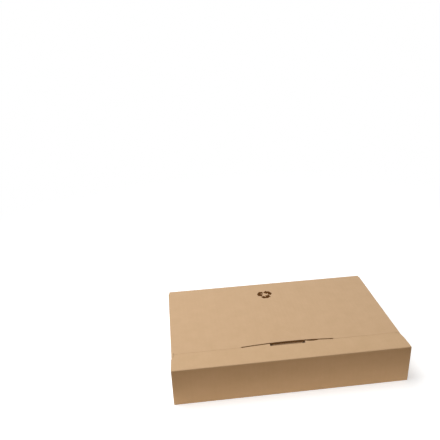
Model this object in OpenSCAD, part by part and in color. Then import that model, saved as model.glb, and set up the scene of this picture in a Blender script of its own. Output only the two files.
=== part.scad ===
// Corrugated mailer box, folded from one sheet of board and shut by a tuck tab on its front flap.
// Millimetres, Z up. X runs across the front wall and Y from the front wall to the back wall.
// The origin is the middle of the underside. Every panel is one thickness of board, every fold
// turns a right angle with a rounded outer corner, and layers that lie together keep a small play.

/* [Box] */
// Width across the front wall
box_w = 320; // [240:1:420]
// Depth from the front wall to the back wall
box_d = 209; // [180:1:320]
// Height of the box
box_h = 55; // [45:1:90]

/* [Board] */
// Thickness of the corrugated board
board_t = 3; // [2:0.1:4]
// Outer radius of a folded edge
fold_r = 1.4; // [0.8:0.1:2.4]
// Outer radius of the scored fold at the end of the top panel
seam_r = 0.6; // [0.4:0.1:1.4]
// Gap between layers of board that lie together
play = 0.3; // [0.3:0.05:0.6]
// How far each side wall stands in from the end of the front wall
side_set_in = 1.3; // [0.5:0.1:3]

/* [Front flap] */
// Depth of the strip that the front wall turns over the top
strip_d = 36; // [28:1:50]
// How far the ends of the strip slant in on their way back
strip_slant = 0.8; // [0.2:0.1:2]
// Length of the cut on each back corner of the strip
strip_corner = 8; // [4:0.5:14]
// How far that cut goes in from the end of the strip
strip_nick = 1.3; // [0.5:0.1:2]
// How far the folds of the side walls run past the end of the top panel
fold_lead = 5; // [2:0.5:8]
// Width of the tuck tab at its root
tab_w = 124; // [96:1:160]
// How far the tab reaches below the top face
tab_reach = 28; // [20:1:36]
// Radius of the tab's two lower corners
tab_corner_r = 16; // [6:1:18]
// How far the tab's root bows back at its middle
root_bow = 3.4; // [2:0.1:5]
// Width of the slit left open behind the tab's root
slit_w = 2.2; // [0.8:0.1:2.6]

/* [Lock] */
// Width of the bridge left between the two lock slots
bridge_w = 43; // [30:1:60]
// How far the lock slots are cut down the inner wall, from the top face
slot_drop = 6; // [5.5:0.1:8]
// Play of the tab's root window at each end of the bridge
window_play = 3; // [1.5:0.1:5]
// How far the root window is cut into the strip, in front of the inner wall
window_cut = 2.6; // [1:0.1:5]
// How far the root window is cut down the tab, from the top face
window_drop = 8.5; // [7:0.1:12]
// Width of the finger notch under the root window
finger_w = 24; // [16:1:30]
// Depth of the finger notch
finger_d = 5.4; // [3:0.1:8]
// Length of the crushed place where the slit gapes
gape_w = 19; // [10:1:26]
// Depth of that crushed place
gape_d = 1.9; // [0.5:0.1:2.4]

/* [Side walls] */
// How far the flange at the foot of a side wall reaches in
flange_d = 42; // [25:1:60]
// Length of that flange along the side wall
flange_l = 188; // [120:1:190]
// Clear distance from the flange to the back wall
flange_clear = 6; // [5:1:20]
// Size of the corners cut off the flange
flange_corner = 5; // [2:1:12]
// Length of the corner flap that each side wall turns behind the back wall
corner_flap_l = 102; // [60:1:110]

/* [Inner panel] */
// Clear height between a leg of the inner panel and the top panel
leg_clear = 0.8; // [0.4:0.1:4]
// Size of the back corner cut off each leg
leg_corner = 14; // [5:1:25]

/* [Film] */
// Thickness of the clear film
film_t = 0.2; // [0.1:0.05:0.3]
// Clear distance from each end of the film to the fold of a leg
film_side = 10.4; // [4:0.2:40]
// Clear distance between the film and the lock slots, and between the film and the panel's end
film_margin = 2; // [1:0.5:10]

/* [Hidden] */
$fn = 64;
eps = 0.01;
kraft = "#C8A47E";
film_tint = "#DCE2E4";

front_y = -box_d / 2;
back_y = box_d / 2;
// Underside of the top panel and of the strip
top_under = box_h - board_t;

// Faces of a side wall, and of the legs that stand inside it
side_out = box_w / 2 - side_set_in;
side_in = side_out - board_t;
leg_out = side_in - play;
// Back wall, one board narrower than the side walls stand apart
back_w = 2 * side_out - board_t;
// Lowest level above the bottom panel, and the level of the flanges' upper face
low_z = board_t + play;
flange_top = low_z + board_t;

// Outer face of the corner flaps, and the limits of a side wall along Y
corner_y = back_y - board_t - play;
side_back = corner_y - board_t;
side_front = front_y + board_t + play;
flange_y1 = back_y - board_t - flange_clear;
flange_y0 = flange_y1 - flange_l;

// Front face of the inner front wall, where the top panel ends
seam_y = front_y + strip_d;
// Underside and upper face of the inner floor, and its back end
floor_z = flange_top + play + film_t;
floor_top = floor_z + board_t;
floor_back = corner_y - board_t - play;
leg_front = seam_y + board_t + play;
leg_top = top_under - leg_clear;
// Top of what stands free under the strip or under the top panel
free_top = top_under - play;
// Width of the film, between the folds of the legs
film_w = 2 * (leg_out - board_t - film_side);

// Rear edge of the strip, its ends beside the folds of the side walls, and in front of them
strip_y = seam_y - play;
strip_end = side_out - board_t - play;
strip_half = box_w / 2 - strip_slant;
// Tab, hanging in front of the film on the inner front wall
tab_back = seam_y - film_t - play;
tab_front = tab_back - board_t;
slot_z = box_h - slot_drop;
nose_z = slot_z + play;
window_z = box_h - window_drop;
window_w = bridge_w + 2 * window_play;
// Circle that the tab's bowed root follows
root_r = (pow(tab_w / 2, 2) + pow(root_bow, 2)) / (2 * root_bow);
root_y = strip_y + root_bow;
root_centre = root_y - root_r;
// Crushed place, centred on one leg of the tab
gape_x = (window_w + gape_w) / 2 + 1;
gape_r = (pow(gape_w / 2, 2) + pow(gape_d, 2)) / (2 * gape_d);
gape_y = root_centre + sqrt(pow(root_r, 2) - pow(gape_x, 2)) + gape_r - gape_d;
finger_r = (pow(finger_w / 2, 2) + pow(finger_d, 2)) / (2 * finger_d);

// Carries a profile drawn in Y and Z across the box
module across(width) {
    rotate([90, 0, 90]) linear_extrude(height = width, center = true) children();
}

// Carries a profile drawn in X and Z along Y, from y0 to y1
module along(y0, y1) {
    translate([0, y1, 0]) rotate([90, 0, 0]) linear_extrude(height = y1 - y0) children();
}

// Carries a profile drawn in X and Y upward, from z0 to z1
module upward(z0, z1) {
    translate([0, 0, z0]) linear_extrude(height = z1 - z0) children();
}

// Section of a flat panel between two opposite corners
module panel(a, b) {
    translate(a) square([b.x - a.x, b.y - a.y]);
}

// Section of a fold: the square of board outside its crease, with a rounded outer corner
module fold(crease, turn, radius = fold_r) {
    flat = board_t - radius;
    translate(crease) rotate(turn) {
        square([board_t, flat]);
        square([flat, board_t]);
        intersection() {
            translate([flat, flat]) circle(r = radius);
            panel([flat, flat], [board_t, board_t]);
        }
    }
}

// Repeats a left or right piece on both sides
module both_sides() {
    children();
    mirror([1, 0, 0]) children();
}

// Bottom panel, mitred at the front where the flap's fold lies
module bottom_panel() {
    across(box_w) polygon([
        [front_y, 0],
        [back_y - board_t, 0],
        [back_y - board_t, board_t],
        [front_y + board_t, board_t]
    ]);
}

// Back wall with its two folds
module back_wall() {
    across(back_w) {
        fold([back_y - board_t, board_t], 270);
        panel([back_y - board_t, board_t], [back_y, top_under]);
        fold([back_y - board_t, top_under], 0);
    }
}

// Top panel between the folds of the side walls
module top_panel() {
    upward(top_under, box_h) {
        panel([-side_out + board_t, seam_y + board_t], [side_out - board_t, side_back]);
        panel([-back_w / 2, side_back], [back_w / 2, back_y - board_t]);
    }
}

// Side wall on the right, folded down from the top panel
module side_wall() {
    along(seam_y - fold_lead, side_back) fold([side_out - board_t, top_under], 0);
    along(seam_y - fold_lead, side_back) {
        panel([side_in, low_z + board_t], [side_out, top_under]);
    }
    along(side_front, seam_y - fold_lead) {
        panel([side_in, low_z + board_t], [side_out, free_top]);
    }
    along(side_front, flange_y0 - play) panel([side_in, low_z], [side_out, low_z + board_t]);
    along(flange_y1 + play, side_back) panel([side_in, low_z], [side_out, low_z + board_t]);
}

// Flange at the foot of the right side wall, turned in over the bottom panel
module foot_flange() {
    reach = side_out - board_t - flange_d;
    along(flange_y0, flange_y1) fold([side_out - board_t, low_z + board_t], 270);
    upward(low_z, flange_top) polygon([
        [side_out - board_t, flange_y0],
        [side_out - board_t, flange_y1],
        [reach + flange_corner, flange_y1],
        [reach, flange_y1 - flange_corner],
        [reach, flange_y0 + flange_corner],
        [reach + flange_corner, flange_y0]
    ]);
}

// Corner flap of the right side wall, turned in along the back wall
module corner_flap() {
    upward(low_z, free_top) {
        fold([side_out - board_t, side_back], 0);
        panel([side_out - board_t - corner_flap_l, corner_y - board_t], [side_out - board_t, corner_y]);
    }
}

// Inner front wall and inner floor, folded down and back from the top panel
module inner_panel() {
    across(2 * leg_out) {
        fold([seam_y + board_t, top_under], 90, seam_r);
        panel([seam_y, floor_z + board_t], [seam_y + board_t, top_under]);
        fold([seam_y + board_t, floor_z + board_t], 180);
    }
    across(2 * (leg_out - board_t)) panel([seam_y + board_t, floor_z], [floor_back, floor_top]);
}

// Leg on the right edge of the inner floor, standing against the side wall
module leg() {
    along(leg_front, floor_back) fold([leg_out - board_t, floor_z + board_t], 270);
    translate([leg_out - board_t / 2, 0, 0]) across(board_t) polygon([
        [leg_front, floor_z + board_t],
        [floor_back, floor_z + board_t],
        [floor_back, leg_top - leg_corner],
        [floor_back - leg_corner, leg_top],
        [leg_front, leg_top]
    ]);
}

// Plan of the bowed root, grown by a margin
module root_plan(margin) {
    intersection() {
        translate([0, root_centre]) circle(r = root_r + margin, $fn = 1440);
        panel([-tab_w / 2 - margin, tab_front - board_t], [tab_w / 2 + margin, back_y]);
    }
}

// Room for the tab's root, cut out of the fold over the inner front wall
module lock_slots() {
    upward(slot_z, box_h + eps) root_plan(slit_w);
}

// Bridge between the lock slots, pressed in by the tab
module bridge() {
    across(bridge_w) polygon([
        [root_y + slit_w + board_t, top_under + eps],
        [root_y + slit_w - eps, top_under + eps],
        [seam_y, slot_z - board_t / 2],
        [seam_y, slot_z - board_t],
        [seam_y + board_t, slot_z - board_t]
    ]);
}

module folded_box() {
    color(kraft) {
        difference() {
            union() {
                bottom_panel();
                back_wall();
                top_panel();
                inner_panel();
                both_sides() {
                    side_wall();
                    foot_flange();
                    corner_flap();
                    leg();
                }
            }
            lock_slots();
        }
        bridge();
    }
}

// Strip over the top, with its cut-off back corners and the bowed root of the tab
module strip() {
    upward(top_under, box_h) {
        polygon([
            [-box_w / 2, front_y + board_t],
            [box_w / 2, front_y + board_t],
            [strip_half, strip_y - fold_lead - strip_corner],
            [strip_half - strip_nick, strip_y - fold_lead],
            [strip_end, strip_y - fold_lead],
            [strip_end, strip_y],
            [-strip_end, strip_y],
            [-strip_end, strip_y - fold_lead],
            [strip_nick - strip_half, strip_y - fold_lead],
            [-strip_half, strip_y - fold_lead - strip_corner]
        ]);
        root_plan(0);
    }
}

// Tab below its root, with round lower corners
module tab() {
    tab_z = box_h - tab_reach;
    straight = tab_w / 2 - tab_corner_r;
    along(tab_front, tab_back) {
        panel([-tab_w / 2, tab_z + tab_corner_r], [tab_w / 2, nose_z]);
        panel([-straight, tab_z], [straight, tab_z + tab_corner_r]);
        for (side = [-1, 1]) intersection() {
            translate([side * straight, tab_z + tab_corner_r]) circle(r = tab_corner_r);
            panel([-tab_w / 2, tab_z], [tab_w / 2, tab_z + tab_corner_r]);
        }
    }
    intersection() {
        across(tab_w) polygon([
            [tab_front, top_under],
            [tab_front, nose_z],
            [tab_back, nose_z],
            [root_y, top_under]
        ]);
        upward(0, box_h) root_plan(0);
    }
}

// Window across the tab's root, with the finger notch under it
module root_window() {
    along(seam_y - window_cut, root_y + eps) {
        panel([-window_w / 2, window_z], [window_w / 2, box_h + eps]);
    }
    along(tab_front - eps, root_y + eps) {
        panel([-window_w / 2, window_z], [window_w / 2, top_under]);
    }
    along(tab_front - eps, tab_back + eps) intersection() {
        translate([0, window_z - finger_d + finger_r]) circle(r = finger_r);
        panel([-finger_w / 2, window_z - finger_d], [finger_w / 2, window_z + eps]);
    }
}

// Crushed edge on the right leg of the tab, where the slit gapes
module gape() {
    upward(nose_z, box_h + eps) translate([gape_x, gape_y]) circle(r = gape_r, $fn = 180);
}

module front_flap() {
    color(kraft) difference() {
        union() {
            across(box_w) {
                polygon([
                    [front_y, play],
                    [front_y + board_t, board_t + play],
                    [front_y + board_t, top_under],
                    [front_y, top_under]
                ]);
                fold([front_y + board_t, top_under], 90);
            }
            strip();
            tab();
        }
        root_window();
        gape();
    }
}

// Film on the inner panel, down the inner front wall, round its foot and along the floor
module retention_film() {
    color(film_tint) across(film_w) {
        panel([seam_y - film_t, floor_z + fold_r], [seam_y, slot_z - board_t - film_margin]);
        translate([seam_y + fold_r, floor_z + fold_r]) rotate(180) intersection() {
            difference() {
                circle(r = fold_r + film_t);
                circle(r = fold_r);
            }
            square(fold_r + film_t);
        }
        panel([seam_y + fold_r, floor_z - film_t], [floor_back - film_margin, floor_z]);
    }
}

folded_box();
front_flap();
retention_film();
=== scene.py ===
# %% [markdown]
# Corrugated mailer box, shut. The real box is one die-cut sheet of three-layer board: two kraft
# liners glued to a wavy medium, creased, folded and locked by a tuck tab. The construction model
# already holds every panel, fold, slot and the tab, so this script dresses those solids and adds
# what is too fine for them: the fluting in the cut edges, the printed mark, the clear film and
# the liner inside the flap's fold.

# %% Load the frame
import math

import bmesh
import bpy
from mathutils import Matrix, Vector


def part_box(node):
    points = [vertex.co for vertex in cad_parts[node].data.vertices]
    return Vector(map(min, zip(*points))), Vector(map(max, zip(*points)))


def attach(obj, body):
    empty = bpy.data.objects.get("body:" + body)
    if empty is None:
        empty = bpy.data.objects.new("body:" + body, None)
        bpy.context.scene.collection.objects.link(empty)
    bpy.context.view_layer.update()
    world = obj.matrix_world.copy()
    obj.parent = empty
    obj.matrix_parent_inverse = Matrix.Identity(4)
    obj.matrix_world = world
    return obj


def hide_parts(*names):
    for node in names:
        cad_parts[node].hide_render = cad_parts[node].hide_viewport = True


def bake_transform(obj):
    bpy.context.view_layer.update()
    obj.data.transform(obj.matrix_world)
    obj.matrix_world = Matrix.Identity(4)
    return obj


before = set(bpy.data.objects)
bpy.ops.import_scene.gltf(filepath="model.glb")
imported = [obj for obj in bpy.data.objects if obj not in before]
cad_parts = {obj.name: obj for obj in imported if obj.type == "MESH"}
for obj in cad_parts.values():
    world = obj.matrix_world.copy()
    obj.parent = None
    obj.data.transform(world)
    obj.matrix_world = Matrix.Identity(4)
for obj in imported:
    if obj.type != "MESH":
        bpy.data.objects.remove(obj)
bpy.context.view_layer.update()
print("nodes:", sorted(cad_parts))

# %% [markdown]
# The board's own sizes are written once, in metres. PLAY is the gap between layers that lie
# together, and FOLD the outer radius of a crease. FLUTE_PITCH, from one flute to the next, is that
# of B flute board. A real liner is about 0.2 mm thick and a real film 0.05 mm. LINER and FILM are
# drawn thicker, so that a liner's line shows in a cut edge and the film can be a closed skin. What
# the frame can tell is read from it: the front wall is the lowest Y of the flap, and the top face
# is the highest Z of the box.

# %% Sizes of the box and of its board
MM = 0.001
BOARD = 3.0 * MM
PLAY = 0.3 * MM
FOLD = 1.4 * MM
FLUTE_PITCH = 6.4 * MM
LINER = 0.34 * MM
FILM = 0.2 * MM
X, Y, Z = Vector((1, 0, 0)), Vector((0, 1, 0)), Vector((0, 0, 1))

flap_low, flap_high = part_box("front_flap")
box_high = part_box("folded_box")[1]
film_low, film_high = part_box("retention_film")
half_width = flap_high.x
front = flap_low.y
back = box_high.y
top = box_high.z
print("half width %.1f mm, depth %.1f mm, height %.1f mm" % (
    half_width / MM, (back - front) / MM, top / MM))

# %% [markdown]
# The front wall turns over the top as a strip, which butts against the lid at the seam. A tab on
# the strip goes down in front of the inner front wall, through a slit that is bowed like the tab's
# root. The bridge between the two lock slots stands in a window at that root. These sizes repeat
# the construction's, because the box round a solid can't give them. The strip's ends slant in by
# STRIP_SLANT on their way back. Each back corner is cut along STRIP_CORNER, and the cut goes in by
# STRIP_NICK. FOLD_LEAD is how far the folds of the side walls run past the end of the lid.

# %% Sizes of the closure
STRIP_DEEP = 36.0 * MM
STRIP_SLANT = 0.8 * MM
STRIP_CORNER = 8.0 * MM
STRIP_NICK = 1.3 * MM
SIDE_SET_IN = 1.3 * MM
FOLD_LEAD = 5.0 * MM
TAB_WIDE, TAB_REACH = 124.0 * MM, 28.0 * MM
TAB_CORNER = 16.0 * MM
SLIT_WIDE = 2.2 * MM
WINDOW_WIDE, WINDOW_CUT = 49.0 * MM, 2.6 * MM
print("the tab takes up %.0f%% of the width" % (100 * TAB_WIDE / (2 * half_width)))

# %% [markdown]
# The cut edges need places that follow from these sizes. The bow of the tab's root is read from
# the frame, as the part of the flap that reaches behind the strip's straight edge. A bow's height
# and half its width give the circle that it belongs to.

# %% Places that the closure gives
seam = front + STRIP_DEEP
strip_edge = seam - PLAY
side_face = half_width - SIDE_SET_IN
strip_end = side_face - BOARD - PLAY
strip_half = half_width - STRIP_SLANT
lead_front = seam - FOLD_LEAD
tab_half = TAB_WIDE / 2
tab_foot = top - TAB_REACH
tab_middle = seam - FILM - PLAY - BOARD / 2
root_bow = flap_high.y - strip_edge
root_radius = (tab_half ** 2 + root_bow ** 2) / (2 * root_bow)
root_centre = flap_high.y - root_radius
slit_radius = root_radius + SLIT_WIDE
lid_middle = top - BOARD / 2
lid_under = top - BOARD
print("root of the tab bows back %.1f mm" % (root_bow / MM))

# %% [markdown]
# The camera stands a little to the left of the box and looks down on the lid. Its angles, place
# and focal length come from fitting the box's corners with a pinhole camera, which is surer than
# moving it by eye. The small shift stands for a picture that was cropped off centre. It is counted
# in pixels of a square picture, IMAGE wide, and Blender takes it as a share of that width.

# %% Camera
AZIMUTH, ELEVATION, ROLL = (math.radians(angle) for angle in (-5.904, 26.198, -2.201))
DISTANCE, ASIDE, ABOVE = 0.8264, -0.0752, 0.1302
FOCAL_LENGTH = 44.473
IMAGE = 440
SHIFT_RIGHT, SHIFT_UP = -8 / IMAGE, 42 / IMAGE

backward = Vector((
    math.sin(AZIMUTH) * math.cos(ELEVATION),
    -math.cos(AZIMUTH) * math.cos(ELEVATION),
    math.sin(ELEVATION)))
level = Z.cross(backward).normalized()
upright = backward.cross(level)
right = math.cos(ROLL) * level + math.sin(ROLL) * upright
upward = math.cos(ROLL) * upright - math.sin(ROLL) * level
place = ASIDE * right + ABOVE * upward + DISTANCE * backward

lens = bpy.data.cameras.new("product_camera")
lens.lens = FOCAL_LENGTH
lens.shift_x = SHIFT_RIGHT
lens.shift_y = SHIFT_UP
camera = bpy.data.objects.new("product_camera", lens)
camera.matrix_world = Matrix.Translation(place) @ Matrix(
    (right, upward, backward)).transposed().to_4x4()
bpy.context.scene.collection.objects.link(camera)
bpy.context.scene.camera = camera
bpy.context.scene.view_settings.view_transform = "Standard"
print("camera %.2f m from the box" % place.length)

# %% [markdown]
# Colours are written as sRGB hex values, as a designer picks them from a swatch, and turned to
# Blender's linear values by one function. A second small function adds a node, sets what is given
# by name and fills its sockets with a value or with another node's output. A socket is called by
# its name or its number. A Mix node of colours hands its result out at number 2, because 0 and 1
# are for a plain value and a vector.

# %% Colour and node helpers
def linear(swatch):
    channels = [int(swatch[i:i + 2], 16) / 255 for i in (1, 3, 5)]
    return [c / 12.92 if c <= 0.04045 else ((c + 0.055) / 1.055) ** 2.4 for c in channels] + [1.0]


def add(tree, kind, sockets=None, **settings):
    node = tree.nodes.new(kind)
    for name, value in settings.items():
        setattr(node, name, value)
    for socket, value in (sockets or {}).items():
        if isinstance(value, bpy.types.NodeSocket):
            tree.links.new(value, node.inputs[socket])
        else:
            node.inputs[socket].default_value = value
    return node


def new_material(name):
    material = bpy.data.materials.new(name)
    material.use_nodes = True
    material.node_tree.nodes.clear()
    return material, material.node_tree


print("a swatch of #808080 is %.3f in linear light" % linear("#808080")[0])

# %% [markdown]
# The studio is a table with a white top, lit from above by one large soft lamp and an even sky.
# The lid faces the lamp. The front wall gets most of its light from the table, so it is darker and
# browner than the lid and lightest at its foot. A plain white table would light it too evenly, so
# this one glows a little in a pool round the box, as a light table does. Its paper is also painted
# with a pool of light, pale round the box and a warmer and darker paper further out. The pool is
# measured from the box's own outline, so it is as wide at the sides as in front.

# %% Table as it lights the box
POOL_NEAR, POOL_FAR = 0.0, 0.10
GLOW = 0.58

table_top, tree = new_material("white backdrop paper")
where = add(tree, "ShaderNodeNewGeometry")
beside = add(tree, "ShaderNodeVectorMath", {0: where.outputs["Position"]}, operation="ABSOLUTE")
beside = add(tree, "ShaderNodeVectorMath", {0: beside.outputs[0], 1: (half_width, back, 0)},
             operation="SUBTRACT")
beside = add(tree, "ShaderNodeVectorMath", {0: beside.outputs[0], 1: (0, 0, 0)},
             operation="MAXIMUM")
beside = add(tree, "ShaderNodeVectorMath", {0: beside.outputs[0]}, operation="LENGTH")
pool = add(tree, "ShaderNodeMapRange", {"Value": beside.outputs["Value"], "From Min": POOL_NEAR,
                                        "From Max": POOL_FAR, "To Min": 1.0, "To Max": 0.0},
           interpolation_type="SMOOTHSTEP")
# Painted pool of light: the paper that lights the box is painted pale round it and warmer and darker
# further out.
painted_pool_colour = add(tree, "ShaderNodeMix", {"Factor": pool.outputs[0], "A": linear("#AA8A5A"),
                                   "B": linear("#F8F2E8")}, data_type="RGBA")
paper = add(tree, "ShaderNodeBsdfDiffuse", {"Color": painted_pool_colour.outputs[2]})
strength = add(tree, "ShaderNodeMath", {0: pool.outputs[0], 1: GLOW}, operation="MULTIPLY")
glow = add(tree, "ShaderNodeEmission", {"Color": linear("#FFF2DE"),
                                        "Strength": strength.outputs[0]})
lighting = add(tree, "ShaderNodeAddShader", {0: paper.outputs[0], 1: glow.outputs[0]})
print("pool of light ends %.0f mm from the box" % (POOL_FAR / MM))

# %% [markdown]
# A product photographer lights the background apart from the object. Here one switch does that: it
# is 1 for rays that come from the camera, and for what is seen in or through something glossy, and
# 0 for the rays that carry light to the box. So the background can be white without flooding the
# box with light. Seen that way, the table is a pale paper, lifted until it is white where the lamp
# reaches it, and only the soft contact shadow stays below white. Further out it fades to plain
# white, so that it meets the sky without a horizon.

# %% Table as it is seen
LIFT = 0.52
FADE_NEAR, FADE_FAR = 0.40, 0.90


def seen_directly(tree):
    paths = add(tree, "ShaderNodeLightPath")
    seen = add(tree, "ShaderNodeMath", {0: paths.outputs["Is Camera Ray"],
                                        1: paths.outputs["Is Glossy Ray"]}, operation="MAXIMUM")
    seen = add(tree, "ShaderNodeMath", {0: seen.outputs[0],
                                        1: paths.outputs["Is Transmission Ray"]},
               operation="MAXIMUM")
    return seen.outputs[0]


bounce = add(tree, "ShaderNodeBsdfDiffuse", {"Color": linear("#F0F0F0")})
lift = add(tree, "ShaderNodeEmission", {"Color": linear("#FFFFFF"), "Strength": LIFT})
bright = add(tree, "ShaderNodeAddShader", {0: bounce.outputs[0], 1: lift.outputs[0]})
plain = add(tree, "ShaderNodeEmission", {"Color": linear("#FFFFFF"), "Strength": 1.0})
away = add(tree, "ShaderNodeVectorMath", {0: where.outputs["Position"]}, operation="LENGTH")
fade = add(tree, "ShaderNodeMapRange", {"Value": away.outputs["Value"], "From Min": FADE_NEAR,
                                        "From Max": FADE_FAR}, interpolation_type="SMOOTHSTEP")
faded = add(tree, "ShaderNodeMixShader", {0: fade.outputs[0], 1: bright.outputs[0],
                                          2: plain.outputs[0]})
mixed = add(tree, "ShaderNodeMixShader", {0: seen_directly(tree), 1: lighting.outputs[0],
                                          2: faded.outputs[0]})
add(tree, "ShaderNodeOutputMaterial", {"Surface": mixed.outputs[0]})
print(table_top.name, "is plain white from", FADE_FAR, "m on")

# %% [markdown]
# The table itself is one flat face, far larger than the picture shows, so that its rim is never
# seen.

# %% Table
TABLE_HALF = 4.0

floor_mesh = bpy.data.meshes.new("studio_floor")
floor_mesh.from_pydata(
    [(-TABLE_HALF, -TABLE_HALF, 0), (TABLE_HALF, -TABLE_HALF, 0),
     (TABLE_HALF, TABLE_HALF, 0), (-TABLE_HALF, TABLE_HALF, 0)],
    [], [(0, 1, 2, 3)])
floor_mesh.materials.append(table_top)
floor = bpy.data.objects.new("studio_floor", floor_mesh)
bpy.context.scene.collection.objects.link(floor)
print("table %.0f m wide" % (2 * TABLE_HALF))

# %% [markdown]
# The sky stands for the white room round the table. It fills the shadows with a little even light,
# and is white where it is seen.

# %% Sky
SKY = 0.15

world = bpy.data.worlds.new("studio_sky")
bpy.context.scene.world = world
world.use_nodes = True
tree = world.node_tree
tree.nodes.clear()
light = add(tree, "ShaderNodeBackground", {"Color": linear("#FFFFFF"), "Strength": SKY})
white = add(tree, "ShaderNodeBackground", {"Color": linear("#FFFFFF"), "Strength": 1.0})
mixed = add(tree, "ShaderNodeMixShader", {0: seen_directly(tree), 1: light.outputs[0],
                                          2: white.outputs[0]})
add(tree, "ShaderNodeOutputWorld", {"Surface": mixed.outputs[0]})
print("sky lights the box at %.2f of white" % SKY)

# %% [markdown]
# The lamp is a square soft box, three quarters as wide as it is far away, so that its shadows have
# no hard edge. It hangs to the left of the box and a little behind it. That leaves the front wall
# with little direct light, and makes the lid slightly darker towards its right end.

# %% Soft lamp
LAMP_SIZE = 1.2
LAMP_WATTS = 23.6
LAMP_PLACE = (-0.55, 0.25, 1.5)

lamp = bpy.data.lights.new("soft_box", "AREA")
lamp.shape = "SQUARE"
lamp.size = LAMP_SIZE
lamp.energy = LAMP_WATTS
soft_box = bpy.data.objects.new("soft_box", lamp)
soft_box.location = LAMP_PLACE
to_box = Vector((0, 0, 0)) - soft_box.location
soft_box.rotation_euler = to_box.to_track_quat("-Z", "Y").to_euler()
bpy.context.scene.collection.objects.link(soft_box)
print("lamp %.0f W over %.1f m, %.1f m away" % (LAMP_WATTS, LAMP_SIZE, to_box.length))

# %% [markdown]
# Kraft linerboard: unbleached paper, machine made, pressed but not coated. The eye reads it as a
# warm tan with a faint cloudy formation, short fibres that lie along the web, a few dark specks,
# and the washboard that the flutes print through at their pitch. A photo of paper could be laid
# over it, but a pattern worked out in three dimensions needs no picture and has no edge. All of it
# follows the flat sheet, so the first step unfolds the box: whatever way a panel faces, one
# coordinate runs along the web (across the flutes) and one along the flutes. A third sets panels
# that face different ways apart, so that they don't repeat each other.

# %% Unfolded coordinates
def flat_sheet(tree):
    """The place on the flat sheet, its part along the web, and which way the panel faces."""
    texture = add(tree, "ShaderNodeTexCoord")
    spot = add(tree, "ShaderNodeSeparateXYZ", {0: texture.outputs["Object"]})
    facing = add(tree, "ShaderNodeVectorMath", {0: texture.outputs["Normal"]}, operation="ABSOLUTE")
    facing = add(tree, "ShaderNodeSeparateXYZ", {0: facing.outputs[0]})
    along_web = add(tree, "ShaderNodeMix", {"Factor": facing.outputs["X"], "A": spot.outputs["X"],
                                            "B": spot.outputs["Z"]}, data_type="FLOAT")
    along_flutes = add(tree, "ShaderNodeMix", {"Factor": facing.outputs["Y"],
                                               "A": spot.outputs["Y"],
                                               "B": spot.outputs["Z"]}, data_type="FLOAT")
    panel = add(tree, "ShaderNodeMath", {0: facing.outputs["X"], 1: facing.outputs["Y"]},
                operation="SUBTRACT")
    flat = add(tree, "ShaderNodeCombineXYZ", {"X": along_web.outputs[0],
                                              "Y": along_flutes.outputs[0],
                                              "Z": panel.outputs[0]})
    return flat.outputs[0], along_web.outputs[0], facing


print("%.0f flutes lie side by side in the lid" % (2 * half_width / FLUTE_PITCH))

# %% [markdown]
# Noise textures draw the formation and the fibres. A noise scale is one over the size of its
# blotches, so the scales below come from real sizes: clouds 22 mm across, and fibres 4 mm long and
# 0.35 mm wide. Real fibres are a tenth as wide, but would not show at this distance. Two layers of
# them are mixed, because one alone looks combed. All of them lie along the web, as the paper
# machine lays them. A Mapping node stretches before it turns, so the turn doesn't tilt the fibres
# and only picks another part of the noise for each layer.

# %% Formation of the paper
CLOUD = 22 * MM
FIBRE_LONG, FIBRE_WIDE = 4 * MM, 0.35 * MM
FIRST_TURN, SECOND_TURN = math.radians(7), math.radians(-28)
SECOND_SHARE = 0.35


def formation(tree, flat):
    """The clouds, and the fibres that lie through them."""
    cloud = add(tree, "ShaderNodeTexNoise", {"Vector": flat, "Scale": 1 / CLOUD, "Detail": 4,
                                             "Roughness": 0.6})
    stretch = (1 / FIBRE_LONG, 1 / FIBRE_WIDE, 1)
    spread = add(tree, "ShaderNodeMapping", {"Vector": flat, "Rotation": (0, 0, FIRST_TURN),
                                             "Scale": stretch})
    first = add(tree, "ShaderNodeTexNoise", {"Vector": spread.outputs[0], "Scale": 1.0,
                                             "Detail": 3, "Roughness": 0.65, "Distortion": 0.4})
    spread = add(tree, "ShaderNodeMapping", {"Vector": flat, "Rotation": (0, 0, SECOND_TURN),
                                             "Scale": stretch})
    second = add(tree, "ShaderNodeTexNoise", {"Vector": spread.outputs[0], "Scale": 1.0,
                                              "Detail": 2, "Roughness": 0.6})
    fibres = add(tree, "ShaderNodeMix", {"Factor": SECOND_SHARE, "A": first.outputs[0],
                                         "B": second.outputs[0]}, data_type="FLOAT")
    return cloud.outputs[0], fibres.outputs[0]


print("clouds %.0f mm, fibres %.0f x %.2f mm" % (CLOUD / MM, FIBRE_LONG / MM, FIBRE_WIDE / MM))

# %% [markdown]
# Specks of bark are 0.7 mm across and about 20 mm apart. A Voronoi texture gives the distance to
# scattered points, and only what lies within a speck's radius is darkened. A fold is scuffed paler
# along its outer corner. Where that is can be told from the surface's direction, because a flat
# panel faces one axis fully and a rounded fold doesn't.

# %% Specks and scuffed folds
SPECK_APART = 20 * MM
SPECK_RADIUS = 0.35 * MM
FLAT_PANEL, MID_FOLD = 0.98, 0.80


def specked(tree, flat, colour):
    spots = add(tree, "ShaderNodeTexVoronoi", {"Vector": flat, "Scale": 1 / SPECK_APART,
                                               "Randomness": 1.0})
    specks = add(tree, "ShaderNodeMapRange", {"Value": spots.outputs["Distance"],
                                              "From Min": SPECK_RADIUS / SPECK_APART,
                                              "From Max": 0.5 * SPECK_RADIUS / SPECK_APART,
                                              "To Max": 0.45})
    return add(tree, "ShaderNodeMix", {"Factor": specks.outputs[0], "A": colour.outputs[2],
                                       "B": linear("#7A5936")}, data_type="RGBA")


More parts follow.
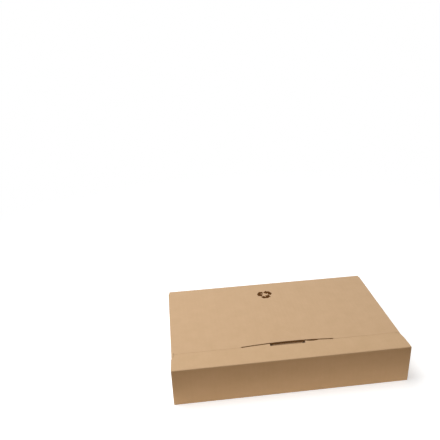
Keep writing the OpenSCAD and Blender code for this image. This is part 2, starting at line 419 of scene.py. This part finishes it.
def scuffed(tree, facing, fibres, colour):
    largest = add(tree, "ShaderNodeMath", {0: facing.outputs["X"], 1: facing.outputs["Y"]},
                  operation="MAXIMUM")
    largest = add(tree, "ShaderNodeMath", {0: largest.outputs[0], 1: facing.outputs["Z"]},
                  operation="MAXIMUM")
    fold = add(tree, "ShaderNodeMapRange", {"Value": largest.outputs[0], "From Min": FLAT_PANEL,
                                            "From Max": MID_FOLD})
    worn = add(tree, "ShaderNodeMath", {0: fold.outputs[0], 1: fibres}, operation="MULTIPLY")
    return add(tree, "ShaderNodeMix", {"Factor": worn.outputs[0], "A": colour.outputs[2],
                                       "B": linear("#DDB98E")}, data_type="RGBA")


print("specks %.1f mm across, %.0f mm apart" % (2 * SPECK_RADIUS / MM, SPECK_APART / MM))

# %% [markdown]
# The board's finish brings these together. Paper is no metal and has an IOR of 1.5. Raw kraft is
# matt, with a roughness of 0.6 to 0.8, and its loose fibres catch light at a flat angle, which a
# little sheen gives. The noise mostly keeps between DARKEST and PALEST, so that range is spread over
# the board's two colours. The washboard is a sine wave at the flutes' pitch. It hardly shows in the
# colour. In the relief, which is 0.12 mm deep, it rises and sinks by a quarter of that. The flap is
# cut from the same sheet, and its colour differs by less than the sheet's own clouds.

# %% Kraft board
FIBRE_SHARE = 0.45
WASHBOARD_TONE, WASHBOARD_RELIEF = 0.012, 0.25
DARKEST, PALEST = 0.34, 0.66
RELIEF = 0.12 * MM


def kraft_board(name, pale, dark):
    material, tree = new_material(name)
    flat, along_web, facing = flat_sheet(tree)
    cloud, fibres = formation(tree, flat)
    waves = add(tree, "ShaderNodeMath", {0: along_web, 1: 2 * math.pi / FLUTE_PITCH},
                operation="MULTIPLY")
    washboard = add(tree, "ShaderNodeMath", {0: waves.outputs[0]}, operation="SINE")
    tone = add(tree, "ShaderNodeMix", {"Factor": FIBRE_SHARE, "A": cloud, "B": fibres},
               data_type="FLOAT")
    tone = add(tree, "ShaderNodeMath", {0: washboard.outputs[0], 1: WASHBOARD_TONE,
                                        2: tone.outputs[0]}, operation="MULTIPLY_ADD")
    tone = add(tree, "ShaderNodeMapRange", {"Value": tone.outputs[0], "From Min": DARKEST,
                                            "From Max": PALEST})
    colour = add(tree, "ShaderNodeMix", {"Factor": tone.outputs[0], "A": linear(dark),
                                         "B": linear(pale)}, data_type="RGBA")
    colour = specked(tree, flat, colour)
    colour = scuffed(tree, facing, fibres, colour)
    height = add(tree, "ShaderNodeMath", {0: washboard.outputs[0], 1: WASHBOARD_RELIEF,
                                          2: fibres}, operation="MULTIPLY_ADD")
    relief = add(tree, "ShaderNodeBump", {"Height": height.outputs[0], "Strength": 0.5,
                                          "Distance": RELIEF})
    rough = add(tree, "ShaderNodeMapRange", {"Value": fibres, "To Min": 0.62, "To Max": 0.80})
    board = add(tree, "ShaderNodeBsdfPrincipled", {"Base Color": colour.outputs[2],
                                                   "Roughness": rough.outputs[0],
                                                   "Normal": relief.outputs[0], "IOR": 1.5,
                                                   "Sheen Weight": 0.6, "Sheen Roughness": 0.4})
    add(tree, "ShaderNodeOutputMaterial", {"Surface": board.outputs[0]})
    return material


box_board = kraft_board("kraft corrugated board", "#D4AF86", "#CCA77D")
flap_board = kraft_board("kraft corrugated board of the flap", "#D4AF85", "#CCA77C")
for node, material in (("folded_box", box_board), ("front_flap", flap_board)):
    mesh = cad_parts[node].data
    mesh.materials.clear()
    mesh.materials.append(material)
    print(node, "gets", material.name)

# %% [markdown]
# A cut edge shows how the board is made: two liners and, between them, the medium. The medium is
# semichemical paper from hardwood, stiffer and duller than the liners. The knife leaves all three
# papers rough and a little darker, so one material does for their cut lines. The hollows between
# the lines are the same paper in its own shade, which the eye sees as a deeper brown. Torn fibres
# are finer than 0.1 mm. The grain of both materials is drawn coarser, so that it shows.

# %% Materials of the cut edges
TORN_GRAIN, SHADE_GRAIN = 0.8 * MM, 1.5 * MM

medium_paper, tree = new_material("semichemical fluting paper")
flat = flat_sheet(tree)[0]
grain = add(tree, "ShaderNodeTexNoise", {"Vector": flat, "Scale": 1 / TORN_GRAIN, "Detail": 3})
colour = add(tree, "ShaderNodeMix", {"Factor": grain.outputs[0], "A": linear("#BC966A"),
                                     "B": linear("#DDB98E")}, data_type="RGBA")
fuzz = add(tree, "ShaderNodeBump", {"Height": grain.outputs[0], "Strength": 0.4,
                                    "Distance": 0.05 * MM})
torn = add(tree, "ShaderNodeBsdfPrincipled", {"Base Color": colour.outputs[2],
                                              "Normal": fuzz.outputs[0], "Roughness": 0.9,
                                              "IOR": 1.5})
add(tree, "ShaderNodeOutputMaterial", {"Surface": torn.outputs[0]})

flute_shade, tree = new_material("shade inside the flutes")
flat = flat_sheet(tree)[0]
grain = add(tree, "ShaderNodeTexNoise", {"Vector": flat, "Scale": 1 / SHADE_GRAIN, "Detail": 2})
colour = add(tree, "ShaderNodeMix", {"Factor": grain.outputs[0], "A": linear("#986A36"),
                                     "B": linear("#BE8D54")}, data_type="RGBA")
shade = add(tree, "ShaderNodeBsdfPrincipled", {"Base Color": colour.outputs[2],
                                               "Roughness": 0.95, "IOR": 1.5})
add(tree, "ShaderNodeOutputMaterial", {"Surface": shade.outputs[0]})
print("cut edges get %s and %s" % (medium_paper.name, flute_shade.name))

# %% [markdown]
# The solids are full between the liners, so each cut edge gets a dark ground and, a tenth of a
# millimetre proud of the cut, the paper lines as real ribbons. A striped texture would look the
# same from afar, but ribbons keep their form close by and in the mesh. One function lays
# any ribbon: edge(s) gives the point, the way across the board and the outward normal at a distance
# s along the edge, and course lists pairs of that distance and the height across the board. PAPER
# and GROUND are the numbers of the two materials on a piece.

# %% Ribbons
SUNK = 0.06 * MM
GROUND_PROUD = 0.02 * MM
PAPER_PROUD = 0.10 * MM
PAPER, GROUND = 0, 1


def lay_ribbon(mesh, edge, course, half_line, proud, slot):
    """One closed ribbon, from a little below the cut to a little above it."""
    rings = []
    for i, (s, h) in enumerate(course):
        before, after = course[max(i - 1, 0)], course[min(i + 1, len(course) - 1)]
        slope = Vector((after[0] - before[0], after[1] - before[1])).normalized()
        ring = []
        for side, lift_off in ((-1, -SUNK), (1, -SUNK), (1, proud), (-1, proud)):
            at_s = s - side * slope.y * half_line
            at_h = h + side * slope.x * half_line
            point, across, normal = edge(at_s)
            ring.append(mesh.verts.new(point + across * at_h + normal * lift_off))
        rings.append(ring)
    for a, b in zip(rings, rings[1:]):
        for k in range(4):
            mesh.faces.new((a[k], a[(k + 1) % 4], b[(k + 1) % 4], b[k])).material_index = slot
    for ring in (rings[0], rings[-1]):
        mesh.faces.new(ring).material_index = slot


print("paper lines stand %.2f mm over their ground" % ((PAPER_PROUD - GROUND_PROUD) / MM))

# %% [markdown]
# Along an edge go the ground, the two liners at its rims and the medium between them. Cut across
# the flutes, the medium is an open wave: a cosine in twelve steps to a flute, which is enough to
# look round. Cut along them, it is a third thin line, at the height where the knife met the wave. A
# straight line needs few points, but a bowed edge bends what lies on it, so they are 8 mm apart.

# %% Dressing of a cut edge
WAVE_STEPS = 12
POINTS_APART = 8 * MM
MEDIUM_HALF = 0.4 * LINER
MEDIUM_HEIGHT = 0.16 * BOARD
LINER_HEIGHT = (BOARD - LINER) / 2
WAVE_HEIGHT = LINER_HEIGHT - LINER / 2


def spaced(length, height):
    count = max(1, round(length / POINTS_APART))
    return [(length * i / count, height) for i in range(count + 1)]


def flute_wave(length):
    count = max(2, round(WAVE_STEPS * length / FLUTE_PITCH))
    places = [LINER + (length - 2 * LINER) * i / count for i in range(count + 1)]
    return [(s, WAVE_HEIGHT * math.cos(2 * math.pi * s / FLUTE_PITCH)) for s in places]


def dress_edge(mesh, edge, length, open_flutes):
    lay_ribbon(mesh, edge, spaced(length, 0.0), BOARD / 2, GROUND_PROUD, GROUND)
    for height in (-LINER_HEIGHT, LINER_HEIGHT):
        lay_ribbon(mesh, edge, spaced(length, height), LINER / 2, PAPER_PROUD, PAPER)
    if open_flutes:
        lay_ribbon(mesh, edge, flute_wave(length), MEDIUM_HALF, PAPER_PROUD, PAPER)
    else:
        lay_ribbon(mesh, edge, spaced(length, MEDIUM_HEIGHT), LINER / 2, PAPER_PROUD, PAPER)


print("a flute is drawn %.2f mm high" % (2 * WAVE_HEIGHT / MM))

# %% [markdown]
# Where a fold ends in a cut, the section is a square of board with a rounded outer corner. The
# outer liner runs round that corner. The medium is crushed in the crease, so it is drawn as one
# short zigzag that leans on the corner's diagonal. Its points are shares of the board.

# %% Dressing of a fold's end
TURN_STEPS = 6
CRUSHED = [(0, 0.2), (0.22, 0.62), (0.42, 0.42), (0.62, 0.22), (0.2, 0)]


def round_corner(radius):
    """The outer corner of a fold, from one panel's outer face to the other's."""
    middle = BOARD - FOLD
    angles = [math.pi / 2 * (1 - i / TURN_STEPS) for i in range(TURN_STEPS + 1)]
    return [(middle + radius * math.cos(a), middle + radius * math.sin(a)) for a in angles]


def dress_fold_end(mesh, corner, one_way, other_way, normal):
    def edge(s):
        return corner + one_way * s, other_way, normal

    outline = [(0, 0), (0, BOARD)] + round_corner(FOLD) + [(BOARD, 0)]
    ground = [mesh.verts.new(corner + one_way * s + other_way * h + normal * GROUND_PROUD)
              for s, h in outline]
    mesh.faces.new(ground).material_index = GROUND
    rim = BOARD - LINER / 2
    liner = [(0, rim)] + round_corner(FOLD - LINER / 2) + [(rim, 0)]
    lay_ribbon(mesh, edge, liner, LINER / 2, PAPER_PROUD, PAPER)
    crushed = [(s * BOARD, h * BOARD) for s, h in CRUSHED]
    lay_ribbon(mesh, edge, crushed, MEDIUM_HALF, PAPER_PROUD, PAPER)


print("a fold's corner is drawn in %d steps" % TURN_STEPS)

# %% [markdown]
# Cut edges run straight or turn round a centre. Both could be drawn as curves with a bevel, but
# the ribbons also need the way across the board and the outward normal, so two functions give all
# three. Each returns the edge and its length.

# %% Edges
def straight(start, end, across, normal):
    """An edge from one point to another."""
    start, end = Vector(start), Vector(end)
    way = (end - start).normalized()

    def edge(s):
        return start + way * s, across, normal

    return edge, (end - start).length


def turned(centre, radius, first, last, plane, faces=1):
    """An edge from the first angle to the last, between the two axes of a plane. It faces away
    from its centre, or towards it where faces is -1."""
    centre = Vector(centre)
    u, v = plane
    turn = last - first

    def edge(s):
        angle = first + turn * s / (abs(turn) * radius)
        radial = u * math.cos(angle) + v * math.sin(angle)
        return centre + radial * radius, u.cross(v), radial * faces

    return edge, abs(turn) * radius


tab_corner_length = turned((0, 0, 0), TAB_CORNER, 0, math.pi / 2, (X, Z))[1]
print("a round corner of the tab is %.1f mm long" % (tab_corner_length / MM))

# %% [markdown]
# A mesh is built point by point and then made into a piece of the scene. Its faces are turned to
# look outward, and those with more than four corners are cut into triangles, so that every program
# that opens the mesh draws them alike. The edges of one body make one piece, which rides
# on that body.

# %% From a mesh to a piece
def piece_of(mesh, name, *materials):
    bmesh.ops.recalc_face_normals(mesh, faces=mesh.faces)
    bmesh.ops.triangulate(mesh, faces=[face for face in mesh.faces if len(face.verts) > 4])
    data = bpy.data.meshes.new(name)
    mesh.to_mesh(data)
    mesh.free()
    for material in materials:
        data.materials.append(material)
    piece = bpy.data.objects.new(name, data)
    bpy.context.scene.collection.objects.link(piece)
    print(name, len(data.polygons), "faces")
    return piece


def edge_piece(name, body, edges, fold_ends):
    mesh = bmesh.new()
    for (edge, length), open_flutes in edges:
        dress_edge(mesh, edge, length, open_flutes)
    for corner, one_way, other_way, normal in fold_ends:
        dress_fold_end(mesh, corner, one_way, other_way, normal)
    piece = piece_of(mesh, name, medium_paper, flute_shade)
    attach(piece, body)
    return piece


# %% [markdown]
# These are the cut edges of the box that can be seen, shut or open: the bowed cut of the lid over
# the lock slots, the ends of the side walls and of the foot flanges, and the sides of the bottom
# and back panels. Left and right are the same edge mirrored, so a loop lays both. Each edge goes
# with whether its flutes are cut open. A foot flange is turned in from the side wall. It is
# FLANGE_DEEP wide with a cut corner, and ends FLANGE_CLEAR before the back wall.

# %% Cut edges of the box
FLANGE_LONG, FLANGE_DEEP = 188.0 * MM, 42.0 * MM
FLANGE_CLEAR, FLANGE_CORNER = 6.0 * MM, 5.0 * MM

side_middle = side_face - BOARD / 2
side_front = front + BOARD + PLAY
side_top = lid_under - PLAY
back_end = side_face - BOARD / 2
flange_middle = BOARD + PLAY + BOARD / 2
flange_front = back - BOARD - FLANGE_CLEAR - FLANGE_LONG
flange_reach = side_face - BOARD - FLANGE_DEEP + FLANGE_CORNER
slit_half_angle = math.asin((tab_half + SLIT_WIDE) / slit_radius)
slit_edge = turned((0, root_centre, lid_middle), slit_radius, math.pi / 2 + slit_half_angle,
                   math.pi / 2 - slit_half_angle, (X, Y), faces=-1)


def box_edges(side):
    out = X * side
    yield straight((side * side_middle, side_front, BOARD + PLAY),
                   (side * side_middle, side_front, side_top), X, -Y), True
    yield straight((side * side_middle, side_front, side_top),
                   (side * side_middle, lead_front, side_top), X, Z), False
    yield straight((side * flange_reach, flange_front, flange_middle),
                   (side * (side_face - BOARD), flange_front, flange_middle), Z, -Y), True
    yield straight((side * half_width, front + BOARD, BOARD / 2),
                   (side * half_width, back - BOARD, BOARD / 2), Z, out), False
    yield straight((side * back_end, back - BOARD / 2, BOARD),
                   (side * back_end, back - BOARD / 2, lid_under), Y, out), False


def box_fold_ends(side):
    """Where a fold ends in a cut: its inner corner, the two ways out of it, and the normal."""
    out = X * side
    yield Vector((side * (side_face - BOARD), lead_front, lid_under)), out, Z, -Y
    yield Vector((side * (side_face - BOARD), flange_front, 2 * BOARD + PLAY)), out, -Z, -Y
    yield Vector((side * back_end, back - BOARD, lid_under)), Y, Z, out
    yield Vector((side * back_end, back - BOARD, BOARD)), Y, -Z, out


box_cut_edges = edge_piece(
    "box_cut_edges", "box",
    [(slit_edge, True)] + list(box_edges(-1)) + list(box_edges(1)),
    list(box_fold_ends(-1)) + list(box_fold_ends(1)))

# %% [markdown]
# On the flap: the two ends of the front wall and of the strip, the strip's rear edge at the seam,
# the tab's outline with its round corners, and the edge of the root window. Each back corner of the
# strip is cut at a slant, to clear the fold of the side wall. The lines on the tab's sides stop
# TAB_TOP below the top face, short of the bend at the tab's root, and the line at the seam stops
# ROOT_GAP short of that root.

# %% Cut edges of the flap
TAB_TOP = 7.0 * MM
ROOT_GAP = 1.0 * MM


def flat_cut(side, start, end):
    """A cut of the strip between two points in plan, on the side given."""
    start = Vector((side * start[0], start[1], lid_middle))
    end = Vector((side * end[0], end[1], lid_middle))
    facing = Vector((side * (start.y - end.y), side * (end.x - start.x), 0)).normalized()
    return straight(start, end, Z, -facing)


def flap_edges(side):
    out = X * side
    corner_foot = (strip_half, strip_edge - FOLD_LEAD - STRIP_CORNER)
    corner_head = (strip_half - STRIP_NICK, lead_front - PLAY)
    yield straight((side * half_width, front + BOARD / 2, BOARD + PLAY),
                   (side * half_width, front + BOARD / 2, lid_under), Y, out), False
    yield flat_cut(side, (half_width, front + BOARD), corner_foot), False
    yield flat_cut(side, corner_foot, corner_head), True
    yield flat_cut(side, corner_head, (strip_end, corner_head[1])), True
    yield flat_cut(side, (strip_end, corner_head[1]), (strip_end, strip_edge)), False
    yield flat_cut(side, (strip_end, strip_edge), (tab_half + ROOT_GAP, strip_edge)), True
    yield straight((side * tab_half, tab_middle, top - TAB_TOP),
                   (side * tab_half, tab_middle, tab_foot + TAB_CORNER), Y, out), False
    yield turned((side * (tab_half - TAB_CORNER), tab_middle, tab_foot + TAB_CORNER), TAB_CORNER,
                 0, -math.pi / 2, (out, Z)), True


tab_bottom = straight((TAB_CORNER - tab_half, tab_middle, tab_foot),
                      (tab_half - TAB_CORNER, tab_middle, tab_foot), Y, -Z)
window_edge = straight((-WINDOW_WIDE / 2, seam - WINDOW_CUT, lid_middle),
                       (WINDOW_WIDE / 2, seam - WINDOW_CUT, lid_middle), Z, Y)
flap_cut_edges = edge_piece(
    "flap_cut_edges", "flap",
    [(tab_bottom, True), (window_edge, True)] + list(flap_edges(-1)) + list(flap_edges(1)),
    [(Vector((side * half_width, front + BOARD, lid_under)), -Y, Z, X * side)
     for side in (-1, 1)])

# %% [markdown]
# The lid carries one printed mark in dark brown, put on with a rubber plate before the sheet was
# cut. Flexographic ink sinks into uncoated kraft, so it shines less than the bare paper. It is thin
# and lets the brown through in small places, about half a millimetre across, where the paper's
# hollows kept the plate off.

# %% Ink
MOTTLE = 0.6 * MM

ink, tree = new_material("flexographic ink on kraft")
flat = flat_sheet(tree)[0]
mottle = add(tree, "ShaderNodeTexNoise", {"Vector": flat, "Scale": 1 / MOTTLE, "Detail": 4})
thin = add(tree, "ShaderNodeMapRange", {"Value": mottle.outputs[0], "From Min": 0.52,
                                        "From Max": 0.75, "To Max": 0.4})
colour = add(tree, "ShaderNodeMix", {"Factor": thin.outputs[0], "A": linear("#543004"),
                                     "B": linear("#82582C")}, data_type="RGBA")
dried = add(tree, "ShaderNodeBsdfPrincipled", {"Base Color": colour.outputs[2],
                                               "Specular IOR Level": 0.2,
                                               "Roughness": 0.9, "IOR": 1.5})
add(tree, "ShaderNodeOutputMaterial", {"Surface": dried.outputs[0]})
print("mark is printed in", ink.name)

# %% [markdown]
# The mark is the common three chasing arrows. It could be a picture laid on the lid, but flat
# outlines stay sharp at any distance. Each arrow comes along one side of a triangle, turns its
# corner and ends in a head on the next side. The sizes are shares of the distance from the middle
# to a corner: half the width of the band, how far the tail and the tip reach from the corner, and
# the head's length and half its width.

# %% One arrow
BAND_HALF = 0.215
TAIL, TIP = 0.70, 0.99
HEAD_LONG, HEAD_HALF = 0.45, 0.43


def arrow_outline():
    """One arrow round the lower corner of a triangle that stands on its point."""
    corner = Vector((0, -1))
    coming = Vector((math.cos(math.radians(-60)), math.sin(math.radians(-60))))
    going = Vector((math.cos(math.radians(60)), math.sin(math.radians(60))))
    left_of_coming = Vector((-coming.y, coming.x))
    left_of_going = Vector((-going.y, going.x))
    neck = corner + going * (TIP - HEAD_LONG)
    inner = corner + Vector((0, 2 * BAND_HALF))
    chamfer = 2 * BAND_HALF * math.tan(math.radians(30))
    return [
        corner - coming * TAIL - left_of_coming * BAND_HALF,
        corner - coming * chamfer - left_of_coming * BAND_HALF,
        corner + going * chamfer - left_of_going * BAND_HALF,
        neck - left_of_going * BAND_HALF,
        neck - left_of_going * HEAD_HALF,
        corner + going * TIP,
        neck + left_of_going * HEAD_HALF,
        neck + left_of_going * BAND_HALF,
        inner,
        corner - coming * TAIL + left_of_coming * BAND_HALF,
    ]


print("an arrow's outline has %d corners" % len(arrow_outline()))

# %% [markdown]
# The same outline turned twice by 120 degrees gives the other two arrows. Each is a thin plate that
# is sunk in the lid by as much as it stands proud, 0.03 mm, so that it is a closed form and never
# flickers against the lid's face.

# %% Printed mark
MARK_X, MARK_Y = -7.0 * MM, back - 36.0 * MM
MARK_SIZE = 13.0 * MM
INK_PROUD = 0.03 * MM

mark_mesh = bmesh.new()
for turn in range(3):
    spin = Matrix.Rotation(math.radians(120 * turn), 2)
    corners = [spin @ p * MARK_SIZE for p in arrow_outline()]
    outline = [mark_mesh.verts.new((MARK_X + p.x, MARK_Y + p.y, top - INK_PROUD))
               for p in corners]
    bottom = mark_mesh.faces.new(outline)
    raised = bmesh.ops.extrude_face_region(mark_mesh, geom=[bottom])["geom"]
    for part in raised:
        if isinstance(part, bmesh.types.BMVert):
            part.co.z = top + INK_PROUD
printed_mark = piece_of(mark_mesh, "printed_mark", ink)
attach(printed_mark, "box")
print("mark is %.1f mm wide" % (printed_mark.dimensions.x / MM))

# %% [markdown]
# Inside, a clear film is stretched over the inner panel, down its front wall and back under its
# floor. It is cast polypropylene, smooth and glossy, with an IOR of 1.49. Refraction as in glass
# would cost much light and time in so thin a skin, so the film is mostly transparent by its alpha
# and only its gloss is seen. It is held at its rim alone, so shallow draws 9 mm wide and 60 mm
# long run through its shine.

# %% Film plastic
DRAW_WIDE, DRAW_LONG = 9 * MM, 60 * MM

film_plastic, tree = new_material("clear polypropylene film")
flat = flat_sheet(tree)[0]
draws = add(tree, "ShaderNodeMapping", {"Vector": flat, "Scale": (1 / DRAW_WIDE, 1 / DRAW_LONG, 1)})
ripple = add(tree, "ShaderNodeTexNoise", {"Vector": draws.outputs[0], "Scale": 1.0, "Detail": 2,
                                          "Distortion": 0.8})
relief = add(tree, "ShaderNodeBump", {"Height": ripple.outputs[0], "Strength": 0.5,
                                      "Distance": 0.6 * MM})
gloss = add(tree, "ShaderNodeBsdfPrincipled", {"Base Color": linear("#F0F3F2"), "IOR": 1.49,
                                               "Roughness": 0.06, "Alpha": 0.14,
                                               "Specular IOR Level": 1.0,
                                               "Normal": relief.outputs[0]})
add(tree, "ShaderNodeOutputMaterial", {"Surface": gloss.outputs[0]})
print("film is", film_plastic.name)

# %% [markdown]
# The film's mesh follows its run: down the inner front wall, round its foot and back under the
# floor. Measuring along the run, as with a tape, keeps the cells of the mesh even round the fold
# and gives the length of the flat sheet.

# %% Run of the film
film_fold = FOLD + FILM
floor_level = film_low.z + film_fold
wall_run = film_high.z - floor_level
fold_run = film_fold * math.pi / 2
floor_run = film_high.y - (seam + FOLD)
film_run = wall_run + fold_run + floor_run


def film_point(s):
    """Point on the film's outer face and its outward normal, s metres down its run."""
    if s <= wall_run:
        return Vector((0, seam - FILM, film_high.z - s)), -Y
    if s <= wall_run + fold_run:
        angle = math.pi + (s - wall_run) / film_fold
        radial = Y * math.cos(angle) + Z * math.sin(angle)
        return Vector((0, seam + FOLD, floor_level)) + radial * film_fold, radial
    return Vector((0, seam + FOLD + s - wall_run - fold_run, film_low.z)), -Z


print("film %.0f x %.0f mm" % ((film_high.x - film_low.x) / MM, film_run / MM))

# %% [markdown]
# The film is a closed skin: two grids over the same run, one a film's thickness behind the other,
# with four strips that close the rim. Down the inner front wall it stands off by up to a quarter of
# a millimetre in soft waves, as hand-stretched film does, and it lies flat at its rim. WAVE_ACROSS
# and WAVE_DOWN are wave lengths over two pi, which stand for 44 mm across and 69 mm down. SWAY is
# how far the waves bend sideways on their way down, as an angle of their round.

# %% Clear film
WAVE_DEPTH = 0.25 * MM
WAVE_ACROSS, WAVE_DOWN, SWAY = 7 * MM, 11 * MM, 1.3
ACROSS, DOWN = 96, 90


def film_skin(mesh, behind):
    """Grid of points a distance behind the film's outer face, and the faces between them."""
    grid = []
    for j in range(DOWN + 1):
        s = film_run * j / DOWN
        point, normal = film_point(s)
        row = []
        for i in range(ACROSS + 1):
            x = film_low.x + (film_high.x - film_low.x) * i / ACROSS
            free = math.sin(math.pi * i / ACROSS) * math.sin(math.pi * min(1, s / wall_run))
            wave = 0.5 + 0.5 * math.sin(x / WAVE_ACROSS + SWAY * math.sin(s / WAVE_DOWN))
            lifted = WAVE_DEPTH * max(0, free) * wave - behind
            row.append(mesh.verts.new(point + X * x + normal * lifted))
        grid.append(row)
    for j in range(DOWN):
        for i in range(ACROSS):
            mesh.faces.new((grid[j][i], grid[j][i + 1], grid[j + 1][i + 1], grid[j + 1][i]))
    return grid


film_mesh = bmesh.new()
outer = film_skin(film_mesh, 0)
inner = film_skin(film_mesh, FILM)
rim = [
    list(zip(outer[0], inner[0])),
    list(zip(outer[-1], inner[-1])),
    [(a[0], b[0]) for a, b in zip(outer, inner)],
    [(a[-1], b[-1]) for a, b in zip(outer, inner)],
]
for pairs in rim:
    for (a, b), (c, d) in zip(pairs, pairs[1:]):
        film_mesh.faces.new((a, b, d, c))
clear_film = piece_of(film_mesh, "clear_film", film_plastic)
clear_film.data.shade_smooth()
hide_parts("retention_film")
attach(clear_film, "box")

# %% [markdown]
# At the foot of the front wall the board is creased, and the inner liner runs on through the
# crease. Shut, it is pinched between the two panels. Open, it is drawn out into a shallow channel.
# It joins two bodies, so it can't ride on one. CHANNEL is its upper face when shut. Each point has
# its distance from the hinge line in millimetres, along the diagonal of the corner, and its share
# of the gap from the box to the flap. The ends lie at 4.24 mm, where the diagonal leaves 3 mm of
# board. The strip stops LINER_SHORT short of the panels' ends.

# %% Liner in the flap's fold
CHANNEL = [(4.24, 0.97), (3.7, 0.84), (3.0, 0.68), (2.6, 0.5),
           (3.0, 0.32), (3.7, 0.16), (4.24, 0.03)]
CHANNEL_THICK = 0.35
LINER_SHORT = 0.2 * MM
STATIONS = 40

into_corner = Vector((0, 1, 1)).normalized()
to_flap = Vector((0, -1, 1)).normalized()
hinge_line = Vector((0, front, 0))
pinch = PLAY / math.sqrt(2)
liner_half = half_width - LINER_SHORT

fold_mesh = bmesh.new()
loop = CHANNEL + [(r - CHANNEL_THICK, share) for r, share in reversed(CHANNEL)]
sections = []
for i in range(STATIONS + 1):
    x = -liner_half + 2 * liner_half * i / STATIONS
    sections.append([
        fold_mesh.verts.new(hinge_line + X * x + into_corner * r * MM + to_flap * share * pinch)
        for r, share in loop])
for a, b in zip(sections, sections[1:]):
    for k in range(len(loop)):
        n = (k + 1) % len(loop)
        fold_mesh.faces.new((a[k], a[n], b[n], b[k]))
fold_mesh.faces.new(sections[0])
fold_mesh.faces.new(sections[-1])
fold_liner = piece_of(fold_mesh, "fold_liner", box_board)
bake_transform(fold_liner)
